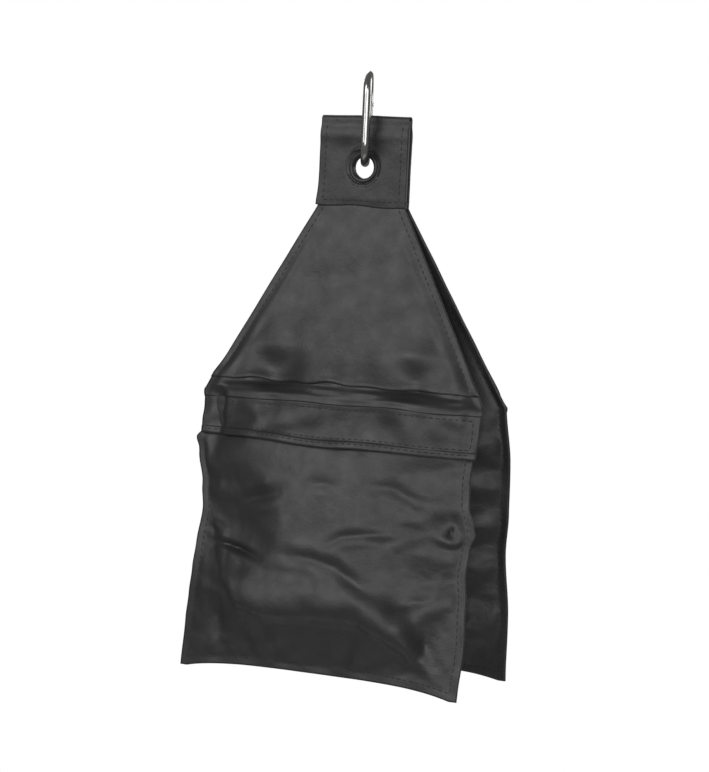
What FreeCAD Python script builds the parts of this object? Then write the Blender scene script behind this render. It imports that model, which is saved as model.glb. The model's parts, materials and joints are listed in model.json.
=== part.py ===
"""Counterweight sandbag for a boom arm: a saddle bag of two sand-filled pouches on a spring snap hook.

The two halves hang from one folded tab. A snap hook passes through the eyelet in the tab. Each half is a
yoke, a lining and a pouch, closed by a flap with hook and loop tape, and holds a plastic liner full of sand.

Row frame, millimetres: +Z up, the front half faces -Y, and the origin is the centre of the hook's upper bend.
Each half is drawn hanging straight down from its own hinge, with s the distance down from the hinge,
x across and t outward from the plane of its edge seams. It is then tilted and put in its place.
"""

import FreeCAD
import Part
import math
import os

Vector = FreeCAD.Vector
X_AXIS = Vector(1, 0, 0)
Y_AXIS = Vector(0, 1, 0)
Z_AXIS = Vector(0, 0, 1)
ORIGIN = Vector(0, 0, 0)

# Snap hook: a bent round wire, closed by a sprung gate.
WIRE_D = 4.5
HOOK_LENGTH = 50.0
HOOK_WIDTH = 25.0
HOOK_YAW = 22.0  # degrees; how far the hook's plane is turned from the bag's
TONGUE_THICKNESS = 2.0
TONGUE_ROOT = 0.5  # how far a tongue runs into its wire
HINGE_TONGUE_WIDTH = 4.0
LATCH_TONGUE_WIDTH = 3.8
LATCH_TONGUE_END = 1.9  # below the latch pin's centre
NOTCH_CLEARANCE = 0.2
NOTCH_LIP = 0.15  # extra depth of the notch's open side
HINGE_SHOULDER_GAP = 0.5  # from the gate's foot down to the wire
LATCH_SHOULDER = 2.6  # from the latch pin up to the wire
FORK_GAP = 2.4
FORK_RUNOUT = 1.0  # how far a fork's cut passes the gate
LOWER_FORK_TOP = 3.4  # above the rivet
UPPER_FORK_BASE = 2.6  # below the latch pin
GATE_D = 4.8
GATE_END = 2.3  # above the latch pin
HINGE_RISE = 4.0  # rivet above the centre of the lower bend
LATCH_DROP = 4.6  # latch pin below the centre of the upper bend
RIVET_D = 1.8
RIVET_HEAD_D = 2.8
LATCH_PIN_D = 1.5
LATCH_PIN_HEAD_D = 2.4
PIN_HEAD_THICKNESS = 0.4
PIN_CLEARANCE = 0.06  # on the radius
FLAT_D = 3.2  # spot face under each pin head
FLATS_ACROSS = 4.2
HEAD_CLEARANCE = 0.05
GATE_BORE_D = 2.8
GATE_BORE_BASE = 1.0  # above the rivet
GATE_BORE_TOP = 4.0  # below the latch pin
PLUNGER_D = 2.5
PLUNGER_LENGTH = 2.2
SPRING_WIRE_D = 0.4
SPRING_TURNS = 6
SPRING_CLEARANCE = 0.15  # on the radius
END_CLEARANCE = 0.05  # at each end of plunger and spring

# Tab: a folded fabric sleeve round a webbing core, with an eyelet.
TAB_WIDTH = 50.0
TAB_HEIGHT = 47.0
TAB_CORE_THICKNESS = 2.0
TAB_LEAF = 0.8
EYELET_DROP = 26.5  # centre below the tab's top
EYELET_BORE_D = 11.5
EYELET_WALL = 0.6
EYELET_FLANGE_D = 16.4
EYELET_FLANGE_RISE = 0.8
EYELET_ROUND = 1.5  # where the barrel turns into the flange
FLANGE_EDGE = (0.3, 0.5)  # inward and outward from the flange's edge to the middle of its crown
ROLLED_INSET = 0.8  # of the rolled rim inside the washer's edge
ROLLED_EDGE = (0.2, 0.4)
WASHER_THICKNESS = 0.4
WASHER_CLEARANCE = 0.02
CORE_SIDE_GAP = 0.5
CORE_FACE_GAP = 0.1
TAB_SEAM_INSET = 3.2
HOOK_TO_EYELET_GAP = 1.0

# Halves.
SPLAY = 7.6  # degrees from vertical
BAG_WIDTH = 160.0
SHOULDER = 100.0  # distance down from the hinge to the shoulders
HALF_LENGTH = 249.0
SIDE_PULL = 5.0  # how far a full pouch draws its sides in
CLOTH = 0.8
BULGE = 21.5
BULGE_START = 60.0
BULGE_SKEW = 1.5  # above 1 the belly hangs below the middle
BULGE_ROUNDNESS = 0.8
FLAT_CROWN = 0.2
TOP_GAP = 0.3  # between the tab's lower edge and a yoke
LINING_TOP = 5.0
FLAP_GAP = 0.3  # each side of the flap's hinge line

# Flap and pouch mouth.
FLAP_HINGE = 101.0
FLAP_END = 127.5
FLAP_HALF_WIDTH = 79.0
FLAP_EDGE_LIFT = 2.6
FLAP_CROWN_LIFT = 3.4
MOUTH = 104.0
TAPE_START = 105.0
TAPE_END = 123.0
TAPE_HALF_WIDTH = 69.0
TAPE_OFFSET = 7.0  # towards the right-hand side seam, as the half is seen from outside
TAPE = 0.75
TAPE_CLEARANCE = 0.1

# Filling.
LINER_WALL = 0.4
LINER_TOP = 108.0
LINER_BOTTOM = 241.0
SAND_TOP = 120.0
FILL_MARGIN = 7.0  # liner's edge inside the pouch's side seams
FILL_CLEARANCE = 0.5
SAND_CLEARANCE = 0.3
SAND_MARGIN = 2.0  # sand's edge inside the liner's outer edge
LINER_EDGE = 1.2  # liner's own margin inside its outer edge

# Thread.
THREAD_D = 0.7
STITCH_PITCH = 4.2
STITCH_SHARE = 0.72  # length of a stitch over the pitch
SEAM_INSET = 4.0
YOKE_SEAM_TOP = 4.0
SEAM_END_GAP = 2.0  # from a row of stitches to the end of its cloth
TAPE_SEAM_INSET = 1.0
HEM_INSET = 2.0
PATH_SAMPLES = 20  # for measuring a seam

WIRE_R = WIRE_D / 2
BEND_R = (HOOK_WIDTH - WIRE_D) / 2
SPINE = HOOK_LENGTH - HOOK_WIDTH
LOWER_BEND_Z = -SPINE
HINGE_Z = LOWER_BEND_Z + HINGE_RISE
LATCH_Z = -LATCH_DROP
SEAT_Z = LOWER_BEND_Z - BEND_R  # wire centre that the eyelet hangs on
EYELET_R = EYELET_BORE_D / 2
EYELET_Z = SEAT_Z + WIRE_R + HOOK_TO_EYELET_GAP - EYELET_R
TAB_TOP_Z = EYELET_Z + EYELET_DROP
TAB_BASE_Z = TAB_TOP_Z - TAB_HEIGHT
TAB_HALF = TAB_CORE_THICKNESS / 2 + TAB_LEAF
POUCH_LENGTH = HALF_LENGTH - SHOULDER


def save(name, *solids):
    """Write one node, and print its volume and whether it is valid."""
    shape = solids[0] if len(solids) == 1 else Part.makeCompound(list(solids))
    shape.exportStep("parts/" + name + ".step")
    print(f"{name:28s} solids {len(shape.Solids):4d} volume {shape.Volume:10.1f} valid {shape.isValid()}")


# ---------------------------------------------------------------- snap hook

def in_hook_plane(shape):
    """Turn a shape drawn with the hook in the XZ plane, spine towards +X, so that the spine is in front."""
    turned = shape.copy()
    turned.rotate(ORIGIN, Z_AXIS, HOOK_YAW - 90)
    return turned


def bend(centre_z, sign):
    """Half circle of the wire's centreline, over (sign 1) or under (sign -1) its centre."""
    return Part.Arc(
        Vector(BEND_R, 0, centre_z), Vector(0, 0, centre_z + sign * BEND_R), Vector(-BEND_R, 0, centre_z)
    ).toShape()


def across(radius, length, x, z):
    """Cylinder across the hook's plane."""
    return Part.makeCylinder(radius, length, Vector(x, -length / 2, z), Y_AXIS)


def slab(x_size, y_size, z_low, z_high, x):
    """Box centred on x and on the hook's plane."""
    return Part.makeBox(x_size, y_size, z_high - z_low, Vector(x - x_size / 2, -y_size / 2, z_low))


def hook_body():
    """Bent wire with a flattened tongue at each end: one bored for the rivet, one notched for the latch."""
    hinge_shoulder = HINGE_Z - GATE_D / 2 - HINGE_SHOULDER_GAP
    latch_shoulder = LATCH_Z + LATCH_SHOULDER
    path = Part.Wire([
        Part.LineSegment(Vector(-BEND_R, 0, latch_shoulder), Vector(-BEND_R, 0, 0)).toShape(),
        bend(0, 1),
        Part.LineSegment(Vector(BEND_R, 0, 0), Vector(BEND_R, 0, LOWER_BEND_Z)).toShape(),
        bend(LOWER_BEND_Z, -1),
        Part.LineSegment(Vector(-BEND_R, 0, LOWER_BEND_Z), Vector(-BEND_R, 0, hinge_shoulder)).toShape(),
    ])
    section = Part.Wire(Part.makeCircle(WIRE_R, Vector(-BEND_R, 0, latch_shoulder), Z_AXIS))
    wire = path.makePipeShell([section], True, True)

    hinge_root = hinge_shoulder - TONGUE_ROOT
    latch_root = latch_shoulder + TONGUE_ROOT
    latch_end = LATCH_Z - LATCH_TONGUE_END
    hinge_tongue = slab(HINGE_TONGUE_WIDTH, TONGUE_THICKNESS, hinge_root, HINGE_Z, -BEND_R)
    hinge_tongue = hinge_tongue.fuse(across(HINGE_TONGUE_WIDTH / 2, TONGUE_THICKNESS, -BEND_R, HINGE_Z))
    latch_tongue = slab(LATCH_TONGUE_WIDTH, TONGUE_THICKNESS, latch_end, latch_root, -BEND_R)
    notch_r = LATCH_PIN_D / 2 + NOTCH_CLEARANCE
    notch_low = LATCH_Z - notch_r - NOTCH_LIP
    notch_side = slab(WIRE_D, WIRE_D, notch_low, LATCH_Z + notch_r, -BEND_R + WIRE_D / 2)
    notch = across(notch_r, WIRE_D, -BEND_R, LATCH_Z).fuse(notch_side)
    body = wire.fuse([hinge_tongue, latch_tongue]).cut(notch)
    return body.cut(across(RIVET_D / 2, WIRE_D, -BEND_R, HINGE_Z)).removeSplitter()


def hook_gate():
    """Round bar, forked at both ends and bored for its spring, with flats for the heads of both pins."""
    top = LATCH_Z + GATE_END
    gate = Part.makeCylinder(GATE_D / 2, top - HINGE_Z, Vector(-BEND_R, 0, HINGE_Z))
    foot = across(GATE_D / 2, GATE_D, -BEND_R, HINGE_Z)
    column = Part.makeCylinder(GATE_D / 2, GATE_D, Vector(-BEND_R, 0, HINGE_Z - GATE_D))
    gate = gate.fuse(foot.common(column))
    past = GATE_D + FORK_RUNOUT
    lower_fork = slab(past, FORK_GAP, HINGE_Z - GATE_D, HINGE_Z + LOWER_FORK_TOP, -BEND_R)
    upper_fork = slab(past, FORK_GAP, LATCH_Z - UPPER_FORK_BASE, top + FORK_RUNOUT, -BEND_R)
    bore_base = HINGE_Z + GATE_BORE_BASE
    bore_length = LATCH_Z - GATE_BORE_TOP - bore_base
    bore = Part.makeCylinder(GATE_BORE_D / 2, bore_length, Vector(-BEND_R, 0, bore_base))
    gate = gate.cut([lower_fork, upper_fork, bore])
    for z in (HINGE_Z, LATCH_Z):
        for side in (-1, 1):
            foot = Vector(-BEND_R, side * FLATS_ACROSS / 2, z)
            flat = Part.makeCylinder(FLAT_D / 2, GATE_D, foot, Vector(0, side, 0))
            gate = gate.cut(flat)
    gate = gate.cut(across(RIVET_D / 2 + PIN_CLEARANCE, past, -BEND_R, HINGE_Z))
    return gate.cut(across(LATCH_PIN_D / 2, past, -BEND_R, LATCH_Z))


def headed_pin(diameter, z, head_d):
    """Pin across the gate with a flat head against the flat on each side."""
    reach = FLATS_ACROSS / 2 + HEAD_CLEARANCE
    pin = across(diameter / 2, 2 * reach, -BEND_R, z)
    for side in (-1, 1):
        under = Vector(-BEND_R, side * reach, z)
        pin = pin.fuse(Part.makeCylinder(head_d / 2, PIN_HEAD_THICKNESS, under, Vector(0, side, 0)))
    return pin


def plunger_base():
    """Height just above the rounded end of the hinge tongue."""
    return HINGE_Z + HINGE_TONGUE_WIDTH / 2 + END_CLEARANCE


def gate_plunger():
    """Short pin in the gate's bore that bears on the rounded end of the hinge tongue."""
    return Part.makeCylinder(PLUNGER_D / 2, PLUNGER_LENGTH, Vector(-BEND_R, 0, plunger_base()))


def gate_spring():
    """Compression spring between the plunger and the end of the gate's bore."""
    low = plunger_base() + PLUNGER_LENGTH + SPRING_WIRE_D / 2 + END_CLEARANCE
    high = LATCH_Z - GATE_BORE_TOP - SPRING_WIRE_D / 2 - END_CLEARANCE
    radius = (GATE_BORE_D - SPRING_WIRE_D) / 2 - SPRING_CLEARANCE
    helix = Part.makeHelix((high - low) / SPRING_TURNS, high - low, radius)
    section = Part.Wire(Part.makeCircle(SPRING_WIRE_D / 2, Vector(radius, 0, 0), Y_AXIS))
    coil = Part.Wire(helix).makePipeShell([section], True, True)
    coil.translate(Vector(-BEND_R, 0, low))
    return coil


def build_hook():
    save("hook_body", in_hook_plane(hook_body()))
    save("hook_gate", in_hook_plane(hook_gate()))
    save("hook_gate_rivet", in_hook_plane(headed_pin(RIVET_D, HINGE_Z, RIVET_HEAD_D)))
    save("hook_latch_pin", in_hook_plane(headed_pin(LATCH_PIN_D, LATCH_Z, LATCH_PIN_HEAD_D)))
    save("hook_gate_plunger", in_hook_plane(gate_plunger()))
    save("hook_gate_spring", in_hook_plane(gate_spring()))


# ---------------------------------------------------------------- tab

def tab_sleeve():
    """Strip folded over the core, with the eyelet's hole punched through both leaves."""
    bottom, top = TAB_BASE_Z, TAB_TOP_Z - TAB_HALF
    inner = TAB_CORE_THICKNESS / 2
    profile = Part.Wire([
        Part.LineSegment(Vector(0, -TAB_HALF, bottom), Vector(0, -TAB_HALF, top)).toShape(),
        Part.Arc(Vector(0, -TAB_HALF, top), Vector(0, 0, top + TAB_HALF), Vector(0, TAB_HALF, top)).toShape(),
        Part.LineSegment(Vector(0, TAB_HALF, top), Vector(0, TAB_HALF, bottom)).toShape(),
        Part.LineSegment(Vector(0, TAB_HALF, bottom), Vector(0, inner, bottom)).toShape(),
        Part.LineSegment(Vector(0, inner, bottom), Vector(0, inner, top)).toShape(),
        Part.Arc(Vector(0, inner, top), Vector(0, 0, top + inner), Vector(0, -inner, top)).toShape(),
        Part.LineSegment(Vector(0, -inner, top), Vector(0, -inner, bottom)).toShape(),
        Part.LineSegment(Vector(0, -inner, bottom), Vector(0, -TAB_HALF, bottom)).toShape(),
    ])
    sleeve = Part.Face(profile).extrude(Vector(TAB_WIDTH, 0, 0))
    sleeve.translate(Vector(-TAB_WIDTH / 2, 0, 0))
    return sleeve.cut(eyelet_hole())


def eyelet_hole():
    radius = EYELET_R + EYELET_WALL
    return Part.makeCylinder(radius, 4 * TAB_HALF, Vector(0, -2 * TAB_HALF, EYELET_Z), Y_AXIS)


def tab_core():
    """Webbing stiffener inside the sleeve."""
    width = TAB_WIDTH - 2 * CORE_SIDE_GAP
    thickness = TAB_CORE_THICKNESS - 2 * CORE_FACE_GAP
    corner = Vector(-width / 2, -thickness / 2, TAB_BASE_Z)
    return Part.makeBox(width, thickness, TAB_HEIGHT - TAB_HALF, corner).cut(eyelet_hole())


def revolved(points):
    """Solid of revolution about the eyelet's axis from (radius, y) points; a 3-tuple is an arc's middle."""
    edges = []
    last = None
    middle = None
    for point in points + [points[0]]:
        here = Vector(point[0], point[1], 0)
        if len(point) == 3:
            middle = here
            continue
        if last is not None:
            edge = Part.Arc(last, middle, here) if middle is not None else Part.LineSegment(last, here)
            edges.append(edge.toShape())
        last, middle = here, None
    solid = Part.Face(Part.Wire(edges)).revolve(ORIGIN, Y_AXIS, 360)
    solid.translate(Vector(0, 0, EYELET_Z))
    return solid


def eyelet():
    """Barrel through the tab with a rounded front flange and a rim rolled over the washer at the back."""
    outer = EYELET_R + EYELET_WALL
    lip = TAB_HALF + EYELET_FLANGE_RISE
    flange_r = EYELET_FLANGE_D / 2
    rolled_r = flange_r - ROLLED_INSET
    back = TAB_HALF + WASHER_THICKNESS
    half_turn = EYELET_ROUND * (1 - math.cos(math.radians(45)))
    return revolved([
        (EYELET_R, -lip + EYELET_ROUND),
        (EYELET_R + half_turn, -lip + half_turn, "arc"),
        (EYELET_R + EYELET_ROUND, -lip),
        (flange_r - FLANGE_EDGE[0], -TAB_HALF - FLANGE_EDGE[1], "arc"),
        (flange_r, -TAB_HALF),
        (outer, -TAB_HALF),
        (outer, back),
        (rolled_r, back),
        (rolled_r - ROLLED_EDGE[0], back + ROLLED_EDGE[1], "arc"),
        (EYELET_R + EYELET_ROUND, lip),
        (EYELET_R + half_turn, lip - half_turn, "arc"),
        (EYELET_R, lip - EYELET_ROUND),
    ])


def eyelet_washer():
    outer = EYELET_R + EYELET_WALL + WASHER_CLEARANCE
    flange_r = EYELET_FLANGE_D / 2
    back = TAB_HALF + WASHER_THICKNESS
    return revolved([(outer, TAB_HALF), (flange_r, TAB_HALF), (flange_r, back), (outer, back)])


def tab_stitching():
    """Rows along the tab's lower edge and both its sides, on both leaves."""
    reach = TAB_WIDTH / 2 - TAB_SEAM_INSET
    low = TAB_BASE_Z + TAB_SEAM_INSET
    high = TAB_TOP_Z - TAB_SEAM_INSET
    rows = [(-reach, low, reach, low), (-reach, low, -reach, high), (reach, low, reach, high)]
    threads = []
    for y in (-TAB_HALF, TAB_HALF):
        for x0, z0, x1, z1 in rows:
            threads += stitches(lambda q: Vector(x0 + (x1 - x0) * q, y, z0 + (z1 - z0) * q))
    return threads


def build_tab():
    save("tab_sleeve", tab_sleeve())
    save("tab_core", tab_core())
    save("eyelet", eyelet())
    save("eyelet_washer", eyelet_washer())
    save("tab_stitching", *tab_stitching())


# ---------------------------------------------------------------- halves

def stitches(path):
    """Short straight threads along path, a function from 0 to 1 giving a point on the cloth."""
    steps = [path(i / PATH_SAMPLES) for i in range(PATH_SAMPLES + 1)]
    length = sum((b - a).Length for a, b in zip(steps, steps[1:]))
    count = round(length / STITCH_PITCH)
    threads = []
    for i in range(count):
        start = path((i + 0.5 - STITCH_SHARE / 2) / count)
        along = path((i + 0.5 + STITCH_SHARE / 2) / count) - start
        threads.append(Part.makeCylinder(THREAD_D / 2, along.Length, start, along))
    return threads


def stations(start, end, count):
    """count + 1 distances down the half, evenly spaced."""
    return [start + (end - start) * i / count for i in range(count + 1)]


def half_width(s):
    """Distance from the middle to a side seam."""
    if s <= SHOULDER:
        return TAB_WIDTH / 2 + (BAG_WIDTH - TAB_WIDTH) / 2 * s / SHOULDER
    return BAG_WIDTH / 2 - SIDE_PULL * math.sin(math.pi * (s - SHOULDER) / POUCH_LENGTH) ** 2


def bulge(s):
    """How far the middle of a filled half stands out from the plane of its seams, each way."""
    if s <= BULGE_START:
        return FLAT_CROWN
    v = ((s - BULGE_START) / (HALF_LENGTH - BULGE_START)) ** BULGE_SKEW
    return max(FLAT_CROWN, BULGE * abs(math.sin(math.pi * min(v, 1.0))) ** BULGE_ROUNDNESS)


def arc_height(x, half, crown):
    """Height at x of the circular arc that rises from 0 at x = half to crown in the middle."""
    radius = (half * half + crown * crown) / (2 * crown)
    return crown - radius + math.sqrt(radius * radius - x * x)


def local(x, s, t):
    return Vector(x, -t, -s)


def arc_edge(s, reach, surface, middle=0.0):
    """Circular arc across the half at s, on the surface t = surface(x, s), to reach each side of middle."""
    points = [local(x, s, surface(x, s)) for x in (middle - reach, middle, middle + reach)]
    return Part.Arc(*points).toShape()


def strip(stops, reach, inner, outer, middle=0.0):
    """Solid between the surfaces t = inner(x, s) and t = outer(x, s), through arcs across it at each stop."""
    sections = []
    for s in stops:
        low = arc_edge(s, reach(s), inner, middle)
        high = arc_edge(s, reach(s), outer, middle)
        right = Part.LineSegment(high.Vertexes[1].Point, low.Vertexes[1].Point).toShape()
        left = Part.LineSegment(low.Vertexes[0].Point, high.Vertexes[0].Point).toShape()
        sections.append(Part.Wire([high, right, low, left]))
    return Part.makeLoft(sections, True, True)


def pouch_outer(x, s):
    return CLOTH + arc_height(x, half_width(s), max(bulge(s) - CLOTH, FLAT_CROWN))


def pouch_inner(x, s):
    return pouch_outer(x, s) - CLOTH


def top_sink(s):
    """Near the hinge the yoke's outer face comes level with the tab's face."""
    return CLOTH * (1 - min(s / SHOULDER, 1.0))


def lining_outer(x, s):
    return -top_sink(s) - arc_height(x, half_width(s), max(bulge(s) - CLOTH, FLAT_CROWN))


def lining_inner(x, s):
    """Side of the lining that faces the other half."""
    return lining_outer(x, s) - CLOTH


def yoke_outer(x, s):
    lift = FLAP_CROWN_LIFT * (s / SHOULDER) ** 2
    return CLOTH - top_sink(s) + arc_height(x, half_width(s), bulge(s) + lift)


def yoke_inner(x, s):
    return yoke_outer(x, s) - CLOTH


def flap_inner(x, s):
    edge = FLAP_EDGE_LIFT
    crown = bulge(s) + FLAP_CROWN_LIFT - edge
    return edge + arc_height(x, FLAP_HALF_WIDTH, crown)


def flap_outer(x, s):
    return flap_inner(x, s) + CLOTH


def tape(surface, offset):
    """Strip of hook or loop tape whose inner face is offset from a surface of the cloth."""
    return strip(
        stations(TAPE_START, TAPE_END, 3), lambda s: TAPE_HALF_WIDTH,
        lambda x, s: surface(x, s) + offset, lambda x, s: surface(x, s) + offset + TAPE, TAPE_OFFSET
    )


def lens(s, margin, gap):
    """Closed outline of the filling at s, inside the pouch by margin at the sides and gap in the middle."""
    half = half_width(s) - margin
    crown = max(bulge(s) - gap, FLAT_CROWN)
    front = Part.Arc(local(-half, s, 0), local(0, s, crown), local(half, s, 0)).toShape()
    back = Part.Arc(local(half, s, 0), local(0, s, -crown), local(-half, s, 0)).toShape()
    return Part.Wire([front, back])


def sand():
    gap = CLOTH + FILL_CLEARANCE + LINER_WALL + SAND_CLEARANCE
    stops = stations(SAND_TOP, LINER_BOTTOM - SAND_MARGIN, 8)
    return Part.makeLoft([lens(s, FILL_MARGIN + SAND_MARGIN, gap) for s in stops], True, True)


def liner():
    """Thin bag round the sand, open at its neck."""
    stops = stations(LINER_TOP, LINER_BOTTOM, 10)
    gap = CLOTH + FILL_CLEARANCE
    outside = Part.makeLoft([lens(s, FILL_MARGIN, gap) for s in stops], True, True)
    stops[-1] -= 2 * LINER_WALL
    stops[0] -= LINER_WALL
    inside = Part.makeLoft([lens(s, FILL_MARGIN + LINER_EDGE, gap + LINER_WALL) for s in stops], True, True)
    return outside.cut(inside)


def seam(surface, side, start, end):
    """Path of a seam along one side of the half, a fixed distance inside its edge."""
    def point(q):
        s = start + (end - start) * q
        x = side * (half_width(s) - SEAM_INSET)
        return local(x, s, surface(x, s))
    return point


def edge_stitching():
    """Topstitching down both sides of yoke and pouch and across the bottom, on the outer face."""
    threads = []
    low = HALF_LENGTH - SEAM_INSET
    for side in (-1, 1):
        threads += stitches(seam(yoke_outer, side, YOKE_SEAM_TOP, SHOULDER - SEAM_END_GAP))
        threads += stitches(seam(pouch_outer, side, MOUTH + SEAM_END_GAP, low))
    reach = half_width(low) - SEAM_INSET
    threads += stitches(lambda q: local(reach * (2 * q - 1), low, pouch_outer(reach * (2 * q - 1), low)))
    return threads


def flap_stitching():
    """Box of stitching that holds the hook tape, and the hem's row below it."""
    def point(x, s):
        return local(x, s, flap_outer(x, s))

    left = TAPE_OFFSET - TAPE_HALF_WIDTH + TAPE_SEAM_INSET
    right = TAPE_OFFSET + TAPE_HALF_WIDTH - TAPE_SEAM_INSET
    top = TAPE_START + TAPE_SEAM_INSET
    bottom = TAPE_END - TAPE_SEAM_INSET
    hem = FLAP_HALF_WIDTH - HEM_INSET
    hem_s = FLAP_END - HEM_INSET
    rows = [(left, top, right, top), (left, bottom, right, bottom), (left, top, left, bottom),
            (right, top, right, bottom), (-hem, hem_s, hem, hem_s)]
    threads = []
    for x0, s0, x1, s1 in rows:
        threads += stitches(lambda q: point(x0 + (x1 - x0) * q, s0 + (s1 - s0) * q))
    return threads


def in_place(shape, back):
    """Tilt a half about its hinge and put it in front or, turned half round, at the back."""
    placed = shape.copy()
    placed.rotate(ORIGIN, X_AXIS, -SPLAY)
    placed.translate(Vector(0, -TAB_HALF, TAB_BASE_Z))
    if back:
        placed.rotate(ORIGIN, Z_AXIS, 180)
    return placed


def half_parts():
    """Every node of one half, by name, in the half's own frame."""
    yoke_stops = stations(TOP_GAP, FLAP_HINGE - FLAP_GAP, 8)
    lining_stops = stations(LINING_TOP, SHOULDER, 8)
    pouch_stops = stations(SHOULDER, HALF_LENGTH, 14)
    flap_stops = stations(FLAP_HINGE + FLAP_GAP, FLAP_END, 4)
    return {
        "yoke": [strip(yoke_stops, half_width, yoke_inner, yoke_outer)],
        "lining": [strip(lining_stops + pouch_stops[1:], half_width, lining_inner, lining_outer)],
        "pouch_panel": [strip([MOUTH] + pouch_stops[1:], half_width, pouch_inner, pouch_outer)],
        "loop_tape": [tape(pouch_outer, TAPE_CLEARANCE)],
        "sand_liner": [liner()],
        "sand": [sand()],
        "edge_stitching": edge_stitching(),
        "flap": [strip(flap_stops, lambda s: FLAP_HALF_WIDTH, flap_inner, flap_outer)],
        "hook_tape": [tape(flap_inner, -TAPE_CLEARANCE - TAPE)],
        "flap_stitching": flap_stitching(),
    }


def build_halves():
    parts = half_parts()
    for end in ("front", "back"):
        for name, solids in parts.items():
            save(f"{end}_{name}", *[in_place(solid, end == "back") for solid in solids])


os.makedirs("parts", exist_ok=True)
build_hook()
build_tab()
build_halves()
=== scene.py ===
"""Looks of the counterweight sandbag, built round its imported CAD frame.

The cloth is shaped in millimetres in each half's own frame: x across, s down from the half's hinge and
t outward from the plane of its seams. to_row() turns that into metres in the row frame. Everything else is
in metres. A grid is an array of points whose rows run down the cloth and whose columns run across it.
"""

import json
import math

import bpy
import numpy as np
from mathutils import Matrix, Vector


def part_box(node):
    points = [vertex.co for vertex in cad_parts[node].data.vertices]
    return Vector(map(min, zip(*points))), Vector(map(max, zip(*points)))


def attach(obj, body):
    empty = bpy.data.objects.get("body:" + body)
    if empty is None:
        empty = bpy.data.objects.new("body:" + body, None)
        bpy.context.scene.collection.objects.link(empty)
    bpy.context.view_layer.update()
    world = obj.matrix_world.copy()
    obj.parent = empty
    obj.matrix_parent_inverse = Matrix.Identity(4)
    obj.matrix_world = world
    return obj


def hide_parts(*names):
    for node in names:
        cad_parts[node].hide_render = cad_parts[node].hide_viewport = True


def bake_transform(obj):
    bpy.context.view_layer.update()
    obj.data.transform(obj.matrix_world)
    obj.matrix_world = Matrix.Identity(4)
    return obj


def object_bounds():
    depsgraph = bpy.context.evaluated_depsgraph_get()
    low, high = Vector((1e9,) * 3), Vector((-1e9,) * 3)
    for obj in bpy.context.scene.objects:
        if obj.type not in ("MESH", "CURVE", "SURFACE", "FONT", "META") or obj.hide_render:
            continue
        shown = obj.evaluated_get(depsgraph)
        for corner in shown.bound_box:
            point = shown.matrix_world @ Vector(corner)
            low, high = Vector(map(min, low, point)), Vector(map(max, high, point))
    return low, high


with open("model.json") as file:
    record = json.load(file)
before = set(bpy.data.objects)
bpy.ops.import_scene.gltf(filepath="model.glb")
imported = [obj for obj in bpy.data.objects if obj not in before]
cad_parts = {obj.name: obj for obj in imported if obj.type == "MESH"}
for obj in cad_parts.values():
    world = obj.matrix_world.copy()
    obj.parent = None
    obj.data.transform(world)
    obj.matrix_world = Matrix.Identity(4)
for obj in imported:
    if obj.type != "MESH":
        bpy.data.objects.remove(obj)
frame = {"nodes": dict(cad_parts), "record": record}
CAD_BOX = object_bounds()

MM = 0.001
ENDS = ("front", "back")
TAB_LOW, TAB_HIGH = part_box("tab_sleeve")
EYELET_LOW, EYELET_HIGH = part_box("eyelet")
EYE_Z = (EYELET_LOW.z + EYELET_HIGH.z) / 2 / MM
EYE_R = (EYELET_HIGH.x - EYELET_LOW.x) / 2 / MM

# The halves.
SPLAY = math.radians(7.6)
TAB_WIDTH = 50.0
BAG_WIDTH = 160.0
SHOULDER = 101.5
HALF_LENGTH = 249.0
SEAM = 4.0  # topstitching inside an edge
SEAM_END = HALF_LENGTH - SEAM
FLAP_TOP = 91.0
YOKE_END = 95.0
TUCK_LINE = 104.8
FLAP_END = 127.5
HEM_TOP = FLAP_END - 4.2  # where the flap's doubled hem starts to stand out
HEM_FULL = FLAP_END - 3.4
FLAP_HALF_WIDTH = 79.0
FLAP_COLUMNS = 129
TAPE_TOP = 106.5
TAPE_END = 123.0
TAPE_LEFT = -62.0
TAPE_RIGHT = 76.0
TOP_TUCK = 3.0  # of the yoke behind the tab's leaf

# The tab.
TAB_BASE = TAB_LOW.z / MM
TAB_HEIGHT = (TAB_HIGH.z - TAB_LOW.z) / MM
TAB_FOLD = 2.1  # radius of the fold at the top
TAB_ROWS = np.linspace(0, TAB_HEIGHT - TAB_FOLD + 0.3, 62)
TAB_COLUMNS = np.linspace(-TAB_WIDTH / 2, TAB_WIDTH / 2, 73)

# Cloth.
CELL = 2.5  # of the grids before they are made finer
FLANGE = 4  # columns or rows of a fine grid outside its seam
MOUTH_ROW = 2  # of the pouch's grid, where the panel's cloth starts
CLOTH = 0.5
LEAST_GAP = 1.6  # between a pouch's cloths, away from its seams
PLY_GAP = 0.12  # from the plane of the seams to the cloth's near face
TAPE = 0.6
TAPE_GAP = 0.12
FLAP_LIFT = PLY_GAP + CLOTH + 2 * TAPE + 3 * TAPE_GAP  # of the flap's near face over the pouch's grid
THREAD_R = 0.3
STITCH = 3.4

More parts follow.
